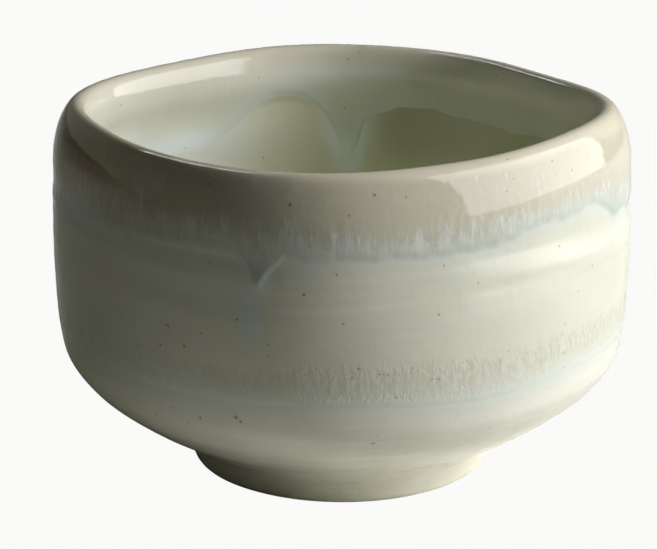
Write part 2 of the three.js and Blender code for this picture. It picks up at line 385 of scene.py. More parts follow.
class Build:
    """Grids of points joined into one closed mesh, with the attributes that its material reads."""

    def __init__(self, name, n):
        self.name, self.n = name, n
        self.v, self.attr, self.faces, self.normals = [], {}, [], []
        self.count = 0

    def row_block(self, P, attrs=None):
        start = self.count
        rows = P.shape[0]
        self.v.append(P.reshape(-1, 3))
        for k, a in (attrs or {}).items():
            self.attr.setdefault(k, []).append((start, a.reshape(-1, a.shape[-1])))
        self.count += rows * self.n
        return start, rows

    def point(self, p, attrs=None):
        start = self.count
        self.v.append(np.asarray(p, float).reshape(1, 3))
        for k, a in (attrs or {}).items():
            self.attr.setdefault(k, []).append((start, np.asarray(a, float).reshape(1, -1)))
        self.count += 1
        return start

    def quads(self, a, b, normals=None):
        """Join two rows, given by their first vertex. normals: a pair of (n, 3) arrays, or None for flat ones."""
        j = np.arange(self.n)
        k = (j + 1) % self.n
        self.faces.append(np.stack([a + j, a + k, b + k, b + j], -1))
        if normals is None:
            self.normals.append(None)
        else:
            na, nb = normals
            self.normals.append(np.stack([na[j], na[k], nb[k], nb[j]], 1))

    def fan(self, a, tip, na=None, ntip=None):
        j = np.arange(self.n)
        k = (j + 1) % self.n
        self.faces.append(np.stack([a + j, a + k, np.full(self.n, tip)], -1))
        self.normals.append(None if na is None else
                            np.stack([na[j], na[k], np.repeat(np.asarray(ntip)[None], self.n, 0)], 1))

    def make(self):
        verts = np.concatenate(self.v) * MM
        mesh = bpy.data.meshes.new(self.name)
        sizes = np.concatenate([np.full(len(q), q.shape[1]) for q in self.faces])
        loops = np.concatenate([q.reshape(-1) for q in self.faces])
        mesh.vertices.add(len(verts))
        mesh.vertices.foreach_set("co", verts.astype(np.float32).ravel())
        mesh.loops.add(len(loops))
        mesh.loops.foreach_set("vertex_index", loops.astype(np.int32))
        mesh.polygons.add(len(sizes))
        mesh.polygons.foreach_set("loop_start", np.r_[0, np.cumsum(sizes)[:-1]].astype(np.int32))
        mesh.polygons.foreach_set("use_smooth", np.ones(len(sizes), bool))
        mesh.update(calc_edges=True)
        for k, parts in self.attr.items():
            data = np.zeros((len(verts), 3), np.float32)
            for start, a in parts:
                data[start:start + len(a)] = a
            at = mesh.attributes.new(k, "FLOAT_VECTOR", "POINT")
            at.data.foreach_set("vector", data.ravel())
        # own normals: those of the whole wall where it is one surface, flat ones on the edges
        out = []
        for q, nrm in zip(self.faces, self.normals):
            if nrm is None:
                c = verts[q]
                fn = np.cross(c[:, 2] - c[:, 0], (c[:, 3] if q.shape[1] == 4 else c[:, 2]) - c[:, 1])
                l = np.linalg.norm(fn, axis=-1, keepdims=True)
                fn = fn / np.maximum(l, 1e-18)
                out.append(np.repeat(fn[:, None, :], q.shape[1], 1).reshape(-1, 3))
            else:
                out.append(nrm.reshape(-1, 3))
        mesh.validate(verbose=False)
        if len(mesh.loops) == len(loops):
            mesh.normals_split_custom_set(np.concatenate(out).astype(np.float32))
        ob = bpy.data.objects.new(self.name, mesh)
        bpy.context.scene.collection.objects.link(ob)
        return ob


th = columns(N)
SA_, SB_, SC_ = T_a(th), T_b(th), T_c(th)
ZONES = {
    "base": (np.zeros(N) + 0.0, SA_, np.r_[0, 0.004, 0.01, 0.02, 0.035, spaced(54, 0.0)[2:]]),
    "body": (SA_, SB_, spaced(66, 0.55)),
    "rim": (SB_, SC_, spaced(74, 0.55)),
    "inner": (SC_, np.zeros(N) + S_END - 0.5, np.r_[spaced(84, 0.0)[:-1] ** 1.0, 1.0]),
}
grids = {}
for k, (a, b, t) in ZONES.items():
    grids[k] = a[None] + (b - a)[None] * t[:, None]
stack, spans, at = [], {}, 0
for i, k in enumerate(("base", "body", "rim", "inner")):
    g_ = grids[k] if i == 0 else grids[k][1:]
    start = at if i == 0 else at - 1
    stack.append(g_)
    at += len(g_)
    spans[k] = (start, at)
S_ALL = np.concatenate(stack)                      # every skin row, each shared edge once
TH_ALL = np.broadcast_to(th[None], S_ALL.shape)
P_ALL = skin(TH_ALL, S_ALL)
# normals from the neighbouring rows and columns of the grid; the arc-length steps ds are not used by them
ds = np.gradient(S_ALL, axis=0)
N_ALL = grid_normals(P_ALL)

W_ALL = np.stack([59.0 * np.cos(TH_ALL), 59.0 * np.sin(TH_ALL), S_ALL], -1)
E_ALL = np.stack([S_ALL - SB_[None], S_ALL - SA_[None], SC_[None] - S_ALL], -1)
K_ALL = speck_field(TH_ALL, S_ALL)


def bell2(th_, s_, deg, wd, s0, ws):
    return turn(th_, deg, wd) * np.exp(-((s_ - s0) / ws) ** 2)


# zone: x = mm below the top of the fur, y = dark lip patch, z = 0 outside .. 1 inside
dark = (sm(-176, -166, np.degrees(TH_ALL) - 360 * (TH_ALL > np.pi)) *
        (1 - sm(-145, -127, np.degrees(TH_ALL) - 360 * (TH_ALL > np.pi))) *
        sm(float(s_out(f(69.0))), float(s_out(f(72.5))), S_ALL) * (1 - 0.75 * sm(S_TOP - 4.5, S_TOP - 1.0, S_ALL))
        * (1 - sm(S_TOP - 1.5, S_TOP + 1.0, S_ALL)))
dark = dark + 0.7 * turn(TH_ALL, 58, 14) * sm(float(s_out(f(71.0))), float(s_out(f(75.0))), S_ALL) * (
    1 - sm(S_TOP - 1.5, S_TOP + 1.0, S_ALL))
dark = np.maximum(dark, 0.44 * turn(TH_ALL, -133, 18) * sm(float(s_out(f(60.5))), float(s_out(f(64.5))), S_ALL)
                  * (1 - sm(S_TOP - 11.0, S_TOP - 6.5, S_ALL)))
side = sm(S_TOP - 0.5, S_TOP + 3.0, S_ALL)
Z_ALL = np.stack([T_f(TH_ALL) - S_ALL, dark, side], -1)
# extra: x = pale trail under a drip, y = body of a drip, z = pooled pale glaze inside
trail = np.zeros_like(S_ALL)
for deg, z1, z0, wd, h in ((-104.6, 56.5, 44.5, 2.1, 1.0), (41.5, 56.5, 46.0, 2.0, .8), (-16.0, 58.5, 53.0, 2.6, .5)):
    lean = 0.12 * (S_ALL - float(s_out(f(z1))))
    a_ = TH_ALL - np.radians(lean)
    trail += h * turn(a_, deg, wd) * sm(float(s_out(f(z0))), float(s_out(f(z0))) + 5, S_ALL) * (
        1 - sm(float(s_out(f(z1))) - 0.5, float(s_out(f(z1))) + 2.5, S_ALL))
drip = np.zeros_like(S_ALL)
for deg, zg, h, wd, ws in DRIPS[:4]:
    drip += bell2(TH_ALL, S_ALL, deg, wd * 1.35, float(s_out(f(zg + 1.6))), ws * 1.15)
pool = np.zeros_like(S_ALL)
for deg, zg, h, wd, ws in RUNS_IN:
    pool += bell2(TH_ALL, S_ALL, deg, wd * 1.2, float(s_in(f(zg - 0.8))), ws * 1.0) * (1.0 if wd < 5 else 0.75)
X_ALL = np.stack([trail, drip, pool], -1)
ATTRS = {"wrap": W_ALL, "edge": E_ALL, "speck": K_ALL, "zone": Z_ALL, "extra": X_ALL}

pieces = {}


def coat(name, key, back_rows, tip=False):
    """One glaze coat: its skin, the face against the clay, and the edges between them."""
    b = Build(name, N)
    r0, r1 = spans[key]
    P, Nn = P_ALL[r0:r1], N_ALL[r0:r1]
    start, rows = b.row_block(P, {k: a[r0:r1] for k, a in ATTRS.items()})
    for i in range(rows - 1):
        b.quads(start + i * N, start + (i + 1) * N, (Nn[i], Nn[i + 1]))
    pick = np.unique(np.round(np.linspace(0, rows - 1, back_rows)).astype(int))
    Sb = S_ALL[r0:r1][pick]
    back = clay(TH_ALL[:len(pick)], Sb)
    at_ = {k: a[r0:r1][pick] for k, a in ATTRS.items()}
    bs, br = b.row_block(back, at_)
    for i in range(br - 1):
        b.quads(bs + (i + 1) * N, bs + i * N)
    b.quads(bs, start)                                    # lower edge
    if tip:
        top_a = {k: a[r1 - 1].mean(0) for k, a in ATTRS.items()}
        z_tip = float(P[-1, :, 2].mean())
        p1 = b.point((P[-1, :, 0].mean(), P[-1, :, 1].mean(), z_tip), top_a)
        b.fan(start + (rows - 1) * N, p1, Nn[-1], (0, 0, 1))
        p2 = b.point((back[-1, :, 0].mean(), back[-1, :, 1].mean(), float(back[-1, :, 2].mean())), top_a)
        j = np.arange(N)
        k = (j + 1) % N
        a_ = bs + (br - 1) * N
        b.faces.append(np.stack([a_ + k, a_ + j, np.full(N, p2)], -1))
        b.normals.append(None)
    else:
        b.quads(start + (rows - 1) * N, bs + (br - 1) * N)     # upper edge
    ob = b.make()
    pieces[name] = ob
    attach(ob, "root")
    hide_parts(name)
    return ob


coat("base_glaze", "base", 14)
coat("body_glaze", "body", 12)
coat("rim_glaze", "rim", 26)
coat("inner_glaze", "inner", 18, tip=True)


# Clay pieces: closed rings or solids swept from a profile, with the coats' own back surface.
def swept(name, rows_fn, n, tips, sharp_deg=38):
    """rows_fn(th) -> (rows, n, 3) points of a path that runs round the section; closed if tips is None."""
    t = columns(n)
    P = rows_fn(t)
    b = Build(name, n)
    S0 = np.arange(P.shape[0])[:, None] + 0 * t[None]
    wrap = P.copy()
    start, rows = b.row_block(P, {"wrap": wrap})
    for i in range(rows - 1):
        b.quads(start + i * n, start + (i + 1) * n)
    if tips is None:
        b.quads(start + (rows - 1) * n, start)
    else:
        top, bottom = tips
        p1 = b.point(top, {"wrap": top})
        b.fan(start + (rows - 1) * n, p1)
        p0 = b.point(bottom, {"wrap": bottom})
        j = np.arange(n)
        k = (j + 1) % n
        b.faces.append(np.stack([start + k, start + j, np.full(n, p0)], -1))
        b.normals.append(None)
    verts = np.concatenate(b.v) * MM
    mesh = bpy.data.meshes.new(name)
    mesh.from_pydata(verts.tolist(), [], [list(q) for blk in b.faces for q in blk.tolist()])
    mesh.update(calc_edges=True)
    data = np.zeros((len(verts), 3), np.float32)
    for s0, a in b.attr["wrap"]:
        data[s0:s0 + len(a)] = a
    mesh.attributes.new("wrap", "FLOAT_VECTOR", "POINT").data.foreach_set("vector", data.ravel())
    mesh.polygons.foreach_set("use_smooth", np.ones(len(mesh.polygons), bool))
    mesh.set_sharp_from_angle(angle=math.radians(sharp_deg))
    ob = bpy.data.objects.new(name, mesh)
    bpy.context.scene.collection.objects.link(ob)
    pieces[name] = ob
    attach(ob, "root")
    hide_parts(name)
    return ob


S_JOINT = float(s_out(6.11))
JOINT_Z = float(clay(np.zeros(1), np.array([S_JOINT]))[0, 2])


def smooth_path(points, step=0.45):
    p = np.array(points, float)
    l = np.r_[0, np.cumsum(np.hypot(*np.diff(p, axis=0).T))]
    q = np.linspace(0, l[-1], max(3, int(l[-1] / step) + 1))
    return pchip(l, p[:, 0], q), pchip(l, p[:, 1], q)


def foot_rows(t):
    rows = []
    for s in np.linspace(S_JOINT, 0.0, 14):
        rows.append(clay(t, np.full_like(t, s), COAT + 0.02))
    r0, z0 = 29.96, float(rows[-1][0, 2])
    rr, zz = smooth_path([(r0 - 0.06, z0 - 0.18), (29.86, 0.30), (29.66, 0.09), (29.30, 0.0), (28.4, 0.0)], 0.16)
    flat_r = np.linspace(28.0, 25.4, 6)
    r2, z2 = smooth_path([(25.0, 0.0), (24.60, 0.06), (24.22, 0.34), (23.92, 0.95), (23.62, 2.2), (23.48, 3.6),
                          (23.46, 5.0), (23.58, 5.9), (23.85, JOINT_Z - 0.02)], 0.35)
    rr = np.r_[rr, flat_r, r2]
    zz = np.r_[zz, np.zeros(len(flat_r)), z2]
    for i, (r, z) in enumerate(zip(rr, zz)):
        wob = 0.05 * noise1(t, 23, 1, 9) * min(1.0, z / 1.0) + 0.03 * noise1(t, 29, 20, 90) * min(1.0, z / 0.6)
        turned = 0.05 * np.sin(2 * np.pi * z / 1.7 + t) * (1 if r < 24.2 else 0)
        sign = -1.0 if r < 26 else 1.0
        if z > JOINT_Z - 0.5:
            wob, turned = wob * 0, turned * 0
        rad_ = r + sign * (wob + turned)
        worn = 0.0 if z > 0.02 else 0.02 * (1 + noise1(t, 31, 8, 60)) * (0.5 + 0.5 * np.sin(9 * r))
        rows.append(np.stack([rad_ * np.cos(t) + FOOT[0], rad_ * np.sin(t) + FOOT[1],
                              z + np.maximum(0.0, worn) + 0 * t], -1))
    return np.stack(rows)[::-1]


swept("foot_ring", foot_rows, 480, None)


def body_rows(t):
    rows = []
    for r in (23.85, 26.0, 28.5, 31.0):
        rows.append(place(np.full_like(t, r), np.full_like(t, JOINT_Z), t))
    for s in np.r_[np.linspace(S_JOINT, S_TOP - 8, 40), np.linspace(S_TOP - 7, S_TOP + 6, 16),
                   np.linspace(S_TOP + 8, S_END - 6, 40)]:
        rows.append(clay(t, np.full_like(t, s), COAT + 0.02))
    return np.stack(rows)


def clay_body():
    n = 480
    t = columns(n)
    up_rows = body_rows(t)
    # underside of the floor, inside the foot: turned with a trimming tool, with a small nipple left at the centre
    rr, zz = smooth_path([(23.85, JOINT_Z), (23.2, JOINT_Z + 0.22), (22.2, JOINT_Z + 0.38), (18.0, JOINT_Z + 0.46),
                          (12.0, JOINT_Z + 0.50), (7.0, JOINT_Z + 0.40), (4.4, JOINT_Z + 0.18),
                          (3.0, JOINT_Z - 0.16), (1.8, JOINT_Z - 0.42), (0.7, JOINT_Z - 0.5)], 0.4)
    under = []
    for i, (r, z) in enumerate(zip(rr[1:], zz[1:])):
        cut = 0.075 * np.sin(2 * np.pi * r / 2.3 + t) * ease((23.2 - r) / 1.5) * ease((r - 1.2) / 2.0)
        cut = cut + 0.035 * noise2(t, np.full_like(t, r), 37, 14, 3.0) * ease((23.4 - r) / 1.0)
        under.append(np.stack([r * np.cos(t) + FOOT[0], r * np.sin(t) + FOOT[1], z + cut], -1))
    under = np.stack(under)[::-1]
    P = np.concatenate([under, up_rows])
    top = P[-1].mean(0)
    bottom = under[0].mean(0) - np.array([0, 0, 0.03])
    return swept("clay_body", lambda t_: P, n, (top, bottom))


clay_body()


# ---------------------------------------------------------------- materials
class Net:
    def __init__(self, name):
        self.mat = bpy.data.materials.new(name)
        self.mat.use_nodes = True
        self.nt = self.mat.node_tree
        self.nt.nodes.clear()
        self.out = self.nt.nodes.new("ShaderNodeOutputMaterial")
        self.bsdf = self.nt.nodes.new("ShaderNodeBsdfPrincipled")
        self.link(self.bsdf.outputs[0], self.out.inputs["Surface"])

    def link(self, a, b):
        self.nt.links.new(a, b)

    def put(self, socket, v):
        if isinstance(v, bpy.types.NodeSocket):
            self.link(v, socket)
        elif v is not None:
            if hasattr(socket.default_value, "__len__"):
                v = tuple(v)
                n = len(socket.default_value)
                socket.default_value = (v + (1.0,))[:n] if len(v) < n else v[:n]
            else:
                socket.default_value = v

    def m(self, op, a, b=None, c=None, clamp=False):
        n = self.nt.nodes.new("ShaderNodeMath")
        n.operation, n.use_clamp = op, clamp
        for i, v in enumerate((a, b, c)):
            if v is not None:
                self.put(n.inputs[i], v)
        return n.outputs[0]

    def add(self, a, b):
        return self.m("ADD", a, b)

    def sub(self, a, b):
        return self.m("SUBTRACT", a, b)

    def mul(self, a, b, clamp=False):
        return self.m("MULTIPLY", a, b, clamp=clamp)

    def step(self, v, a, b, c=0.0, d=1.0, kind="SMOOTHSTEP"):
        n = self.nt.nodes.new("ShaderNodeMapRange")
        n.interpolation_type, n.clamp = kind, True
        for i, x in enumerate((v, a, b, c, d)):
            self.put(n.inputs[i], x)
        return n.outputs[0]

    def mix(self, t, a, b, blend="MIX"):
        n = self.nt.nodes.new("ShaderNodeMix")
        n.data_type, n.blend_type, n.clamp_factor = "RGBA", blend, True
        self.put(n.inputs[0], t)
        self.put(n.inputs[6], a)
        self.put(n.inputs[7], b)
        return n.outputs[2]

    def attr(self, name):
        n = self.nt.nodes.new("ShaderNodeAttribute")
        n.attribute_type, n.attribute_name = "GEOMETRY", name
        return n.outputs["Vector"]

    def split(self, v):
        n = self.nt.nodes.new("ShaderNodeSeparateXYZ")
        self.link(v, n.inputs[0])
        return n.outputs[0], n.outputs[1], n.outputs[2]

    def scaled(self, v, s, offset=(0, 0, 0)):
        n = self.nt.nodes.new("ShaderNodeVectorMath")
        n.operation = "MULTIPLY_ADD"
        self.link(v, n.inputs[0])
        n.inputs[1].default_value, n.inputs[2].default_value = s, offset
        return n.outputs[0]

    def length(self, v):
        n = self.nt.nodes.new("ShaderNodeVectorMath")
        n.operation = "LENGTH"
        self.link(v, n.inputs[0])
        return n.outputs["Value"]

    def noise(self, v, scale=1.0, detail=2.0, rough=0.5, warp=0.0, offset=(0, 0, 0)):
        n = self.nt.nodes.new("ShaderNodeTexNoise")
        s = (scale, scale, scale) if not hasattr(scale, "__len__") else scale
        self.link(self.scaled(v, s, offset), n.inputs["Vector"])
        n.inputs["Scale"].default_value = 1.0
        n.inputs["Detail"].default_value = detail
        n.inputs["Roughness"].default_value = rough
        n.inputs["Distortion"].default_value = warp
        return n.outputs[0]

    def cells(self, v, scale, offset=(0, 0, 0), rand=1.0):
        n = self.nt.nodes.new("ShaderNodeTexVoronoi")
        n.feature = "F1"
        s = (scale, scale, scale) if not hasattr(scale, "__len__") else scale
        self.link(self.scaled(v, s, offset), n.inputs["Vector"])
        n.inputs["Scale"].default_value = 1.0
        n.inputs["Randomness"].default_value = rand
        return n.outputs["Distance"], n.outputs["Color"]

    def bump(self, height, distance, strength=1.0, normal=None):
        n = self.nt.nodes.new("ShaderNodeBump")
        n.inputs["Strength"].default_value = strength
        n.inputs["Distance"].default_value = distance
        self.put(n.inputs["Height"], height)
        if normal is not None:
            self.link(normal, n.inputs["Normal"])
        return n.outputs[0]


BODY = (0.700, 0.735, 0.555)


def tint(k, rg, bg):
    """A glaze colour from its lightness against the body coat, and its red and blue against its green."""
    g0 = BODY[1] * k
    return (g0 * rg, g0, g0 * bg)


def glaze(name, zone):
    n = Net(name)
    W = n.attr("wrap")
    db, da, dc = n.split(n.attr("edge"))
    below, patch, inside = n.split(n.attr("zone"))
    trail_, drip_, pool_ = n.split(n.attr("extra"))
    spot = n.length(n.attr("speck"))

    cloud = n.noise(W, 0.055, 3, 0.55)                                        # slow clouds of thickness
    band = n.noise(W, (0.022, 0.022, 0.42), 3, 0.6)                           # wheel bands
    runs = n.noise(W, (1.05, 1.05, 0.085), 3, 0.62, offset=(3, 1, 0))         # long vertical runs
    furA = n.noise(W, (0.42, 0.42, 0.14), 2, 0.55, warp=0.5, offset=(11, 5, 2))
    furB = n.noise(W, (0.95, 0.95, 0.27), 3, 0.58, warp=0.7, offset=(1, 9, 4))
    fur = n.add(n.mul(furA, .5), n.mul(furB, .5))                             # hare's fur
    crumb = n.noise(W, (1.15, 1.15, 0.50), 3, 0.60, warp=0.4, offset=(6, 2, 7))
    fine_ = n.noise(W, 2.6, 3, 0.6)
    mott = n.noise(W, 0.45, 4, 0.6, offset=(2, 8, 1))
    wx = n.split(W)[0]

    # ---- body coat
    body = n.mix(n.step(cloud, .38, .66), tint(1.03, .965, .775), tint(0.985, .99, .785))
    body = n.mix(n.step(band, .50, .72), body, tint(1.05, .98, .81))
    body = n.mix(n.mul(n.step(runs, .55, .75), .30), body, tint(.93, .96, .76))
    body = n.mix(n.mul(n.step(mott, .52, .75), .20), body, tint(.93, 1.0, .77))
    body = n.mix(n.mul(trail_, n.step(runs, .30, .62, .55, 1.0)), body, tint(1.04, .87, .93))
    # streaked lower band of the body coat: pale at its foot, with short darker flecks over it
    top_a = n.add(n.add(da, n.mul(n.sub(crumb, .5), 6.0)), n.mul(n.sub(mott, .5), 4.0))
    low_in = n.mul(n.step(top_a, 9.4, 6.2), n.step(top_a, 1.2, 3.4))
    fleck = n.mix(n.step(n.add(n.mul(crumb, .7), n.mul(fur, .3)), .40, .62), tint(.86, .99, .76), tint(1.04, .965, .81))
    body = n.mix(n.mul(low_in, n.step(wx, -46, 4, .30, .84)), body, fleck)
    pale_a = n.step(top_a, 5.0, 1.6)
    body = n.mix(n.mul(pale_a, .80), body, tint(1.08, .94, .83))
    body = n.mix(n.mul(n.step(n.m("ABSOLUTE", n.sub(da, n.mul(mott, 1.8))), 1.3, .1), .65), body, tint(1.13, .905, .85))
    # greyer run-off just under the rim coat
    body = n.mix(n.mul(n.step(db, -6.5, -1.4), .45), body, tint(.95, .955, .81))
    # the pale turquoise line along the rim coat's edge
    line_w = n.add(.75, n.mul(n.step(mott, .35, .7), 1.5))
    rim_line = n.step(n.m("ABSOLUTE", n.add(db, n.add(.25, n.mul(n.sub(furA, .5), 2.6)))), line_w, n.mul(line_w, .15))
    line_col = tint(.99, .89, .86)

    # ---- base coat
    base = n.mix(n.step(cloud, .36, .66), tint(1.19, .995, .83), tint(1.13, 1.0, .81))
    base = n.mix(n.step(band, .50, .70), base, tint(1.23, 1.0, .85))
    base = n.mix(n.mul(n.step(mott, .5, .8), .25), base, tint(1.08, 1.0, .79))
    base = n.mix(n.step(n.add(da, n.mul(n.sub(mott, .5), 2.6)), -4.2, .0), base, tint(1.11, .95, .85))
    # warm, thin glaze over the foot's edge
    thin = n.step(n.add(da, n.mul(mott, 3.0)), -34.5, -41.5)
    base = n.mix(n.mul(thin, .35), base, tint(.95, 1.03, .76))

    # ---- rim coat, outside
    warm = n.mix(n.step(cloud, .36, .66), tint(.81, 1.04, .73), tint(.78, 1.025, .72))
    warm = n.mix(n.mul(n.step(mott, .48, .72), .45), warm, tint(.85, 1.05, .775))
    warm = n.mix(n.mul(n.step(fine_, .5, .72), .20), warm, tint(.72, 1.03, .69))
    warm = n.mix(n.mul(n.step(furB, .46, .66), .25), warm, tint(.90, 1.0, .80))
    lip = n.step(below, -8.4, -10.8)
    warm = n.mix(lip, warm, tint(.97, 1.045, .735))
    # pale runs break up its lower half, more of them nearer the edge
    cover = n.add(n.mul(n.step(below, -3.4, 6.5, 0, 1, "LINEAR"), .30), n.mul(n.sub(cloud, .5), .20))
    cut = n.sub(.655, cover)
    pale = n.step(fur, n.sub(cut, .060), n.add(cut, .075))
    gap = n.mix(n.step(below, -2.5, 4.5), warm, tint(.78, .98, .765))
    cool = n.mix(n.step(furB, .36, .68), tint(.91, .955, .84), tint(1.01, .925, .88))
    rim = n.mix(n.mul(pale, .82), gap, cool)
    soft = n.add(db, n.mul(n.sub(fur, .5), 5.0))
    teal = n.mul(n.step(soft, 4.2, 1.6), n.step(db, -.2, 1.6))
    rim = n.mix(n.mul(teal, .62), rim, tint(.88, .905, .82))
    rim = n.mix(n.mul(drip_, .80), rim, tint(.76, .83, .82))
    brown = n.mix(n.step(mott, .35, .7), (.345, .250, .145), (.40, .310, .200))
    rim = n.mix(n.mul(patch, n.step(n.add(cloud, n.mul(mott, .5)), .50, .80, .50, .80)), rim, brown)

    # ---- inside: the rim coat's runs over the thin liner
    deep = n.mix(n.step(cloud, .36, .66), tint(1.03, .985, .79), tint(.98, .99, .765))
    deep = n.mix(n.mul(n.step(runs, .5, .75), .25), deep, tint(1.05, .98, .82))
    deep = n.mix(n.mul(n.step(mott, .5, .78), .20), deep, tint(.93, .98, .75))
    rim_in = n.mix(n.step(cloud, .34, .66), tint(1.0, .975, .81), tint(.95, .99, .79))
    rim_in = n.mix(n.mul(n.step(runs, .48, .75), .30), rim_in, tint(1.03, .955, .84))
    wide = n.add(dc, n.add(n.mul(n.sub(runs, .5), 4.0), n.mul(n.sub(mott, .5), 3.0)))
    glow = n.step(wide, 7.5, 1.0)
    mid_ = n.step(n.m("ABSOLUTE", n.add(wx, -3.0)), 24.0, 6.0)
    wz = n.split(W)[2]
    high_in = n.step(wz, S_TOP + 17.0, S_TOP + 9.0)
    # painted shade: the upper inside wall near the lip is darkened towards the left
    rim_in = n.mix(n.mul(n.step(wx, -16.0, -42.0, 0.0, .75), high_in), rim_in, tint(.80, .97, .78))
    # painted light, partly the pale run there: the inside near the lip is lighter in the middle, left to right, and the
    # pale band under the liner's edge is paler there
    rim_in = n.mix(n.mul(mid_, .55), rim_in, tint(1.22, .95, .89))
    rim_in = n.mix(n.mul(glow, .55), rim_in, n.mix(mid_, tint(1.08, .925, .90), tint(1.22, .90, .96)))
    rim_in = n.mix(n.mul(pool_, .75), rim_in, tint(1.45, .90, 1.0))
    shade = n.step(n.add(dc, n.mul(n.sub(mott, .5), 2.5)), -7.0, .2)
    # painted light and shade: the deep inside is lighter on the left half and darker olive on the right half
    side_ = n.step(wx, 2.0, 18.0)
    deep = n.mix(side_, n.mix(.75, deep, tint(1.17, .99, .735)), n.mix(.85, deep, tint(.68, .985, .67)))
    # painted light: the deep inside is lighter again towards the left, with a ragged edge
    left_ = n.step(n.add(wx, n.mul(n.sub(mott, .5), 10.0)), -9.0, -30.0)
    deep = n.mix(n.mul(left_, .85), deep, tint(1.16, .955, .87))
    # painted light: the deep inside is lighter towards its floor
    floor_ = n.step(wz, S_TOP + 22.0, S_TOP + 38.0)
    deep = n.mix(n.mul(floor_, .7), deep, tint(1.34, .985, .76))
    # painted shade under the liner's edge: dark olive on the right half, faint on the left and none far left
    deep = n.mix(n.mul(n.mul(shade, n.sub(1.0, left_)), .40), deep, n.mix(side_, tint(1.06, .99, .72), tint(.70, .985, .68)))
    # painted shade in the crease just under the liner's edge on the upper inside, from the middle leftwards, partly the
    # darker thick edge of the glaze
    crease = n.step(n.m("ABSOLUTE", n.add(dc, .9)), 1.7, .1)
    deep = n.mix(n.mul(n.mul(crease, n.mul(n.step(wz, S_TOP + 17.0, S_TOP + 12.0), n.step(wx, 22.0, 8.0))), .50), deep, tint(.66, .975, .66))
    blob = n.mul(n.step(n.m("ABSOLUTE", n.add(wx, -2.6)), 9.5, 2.0), n.step(n.add(dc, n.mul(n.sub(mott, .5), 3.0)), -13.0, -3.0))
    deep = n.mix(n.mul(n.mul(blob, n.step(n.split(W)[1], 20.0, 30.0)), .80), deep, tint(1.50, .905, 1.0))
    bevel = n.mix(n.step(cloud, .4, .65), tint(.98, 1.02, .79), tint(.93, 1.02, .765))
    rim_in = n.mix(n.step(wz, S_TOP + 7.0, S_TOP + 3.0), rim_in, bevel)
    # painted reflection: the inside just under the lip is lighter on the right
    rim_in = n.mix(n.mul(n.mul(n.step(wx, 10.0, 28.0), n.step(wz, S_TOP + 8.0, S_TOP + 2.0)), .6), rim_in, tint(1.24, .97, .86))
    # painted shade: below that, the inside wall is darker on the right
    rim_in = n.mix(n.mul(n.mul(n.step(wx, 12.0, 34.0), n.step(wz, S_TOP + 6.0, S_TOP + 10.0)), .7), rim_in, tint(.84, .97, .83))

    if zone == "rim":
        col = n.mix(inside, rim, rim_in)
        col = n.mix(n.mul(n.mul(rim_line, .60), n.sub(1.0, inside)), col, line_col)
    elif zone == "body":
        col = n.mix(n.mul(rim_line, .60), body, line_col)
    elif zone == "base":
        col = base
    else:
        col = deep

    # ---- small marks: iron specks in their places, scattered fine ones, and pinholes
    halo = n.step(spot, .85, .25)
    core = n.step(n.add(spot, n.mul(n.sub(fine_, .5), .35)), .44, .18)
    col = n.mix(n.mul(halo, .22), col, (.30, .22, .12))
    col = n.mix(n.mul(core, .66), col, (.095, .065, .035))
    d1, c1 = n.cells(W, .34, rand=1.0)
    r1, g1, b1 = n.split(c1)
    pick = n.mul(n.step(r1, .62, .66), n.step(n.add(d1, n.mul(b1, -.05)), .070, .032))
    col = n.mix(n.mul(pick, .42), col, (.20, .17, .095))
    d2, c2 = n.cells(W, .85, offset=(7, 3, 5))
    r2, g2, b2 = n.split(c2)
    hole = n.mul(n.step(r2, .70, .74), n.step(d2, .13, .06))
    col = n.mix(n.mul(hole, .16), col, (.34, .32, .22))
    grain = n.noise(W, 7.0, 2, 0.6)
    col = n.mix(n.mul(n.step(grain, .35, .75), .04), col, (.38, .36, .27))

    n.put(n.bsdf.inputs["Base Color"], col)
    rough = n.step(n.add(n.mul(cloud, .5), n.mul(mott, .5)), .35, .65, .045, .085)
    rough = n.add(rough, n.mul(core, .2))
    # the belly and the lower curve are more satin than the rim and the inside
    if zone in ("body", "base"):
        rough = n.add(rough, .15 if zone == "body" else .07)
    n.put(n.bsdf.inputs["Roughness"], rough)
    n.bsdf.inputs["IOR"].default_value = 1.50
    n.bsdf.inputs["Specular IOR Level"].default_value = 0.5
    n.bsdf.inputs["Coat Weight"].default_value = 0.0

    skin_ = n.add(n.noise(W, .22, 2, .5, offset=(5, 5, 5)), n.mul(fine_, .025))
    nrm = n.bump(skin_, 0.00008)
    fur_on = n.mul(n.step(below, -4.0, 1.0), n.step(db, .0, 2.5)) if zone == "rim" else low_in
    if zone in ("rim", "body"):
        nrm = n.bump(n.mul(fur, fur_on), 0.00010, normal=nrm)
    dents = n.add(n.mul(hole, -.6), n.mul(pick, .6))
    nrm = n.bump(n.add(dents, n.mul(core, .6)), 0.00004, normal=nrm)
    n.put(n.bsdf.inputs["Normal"], nrm)
    return n.mat


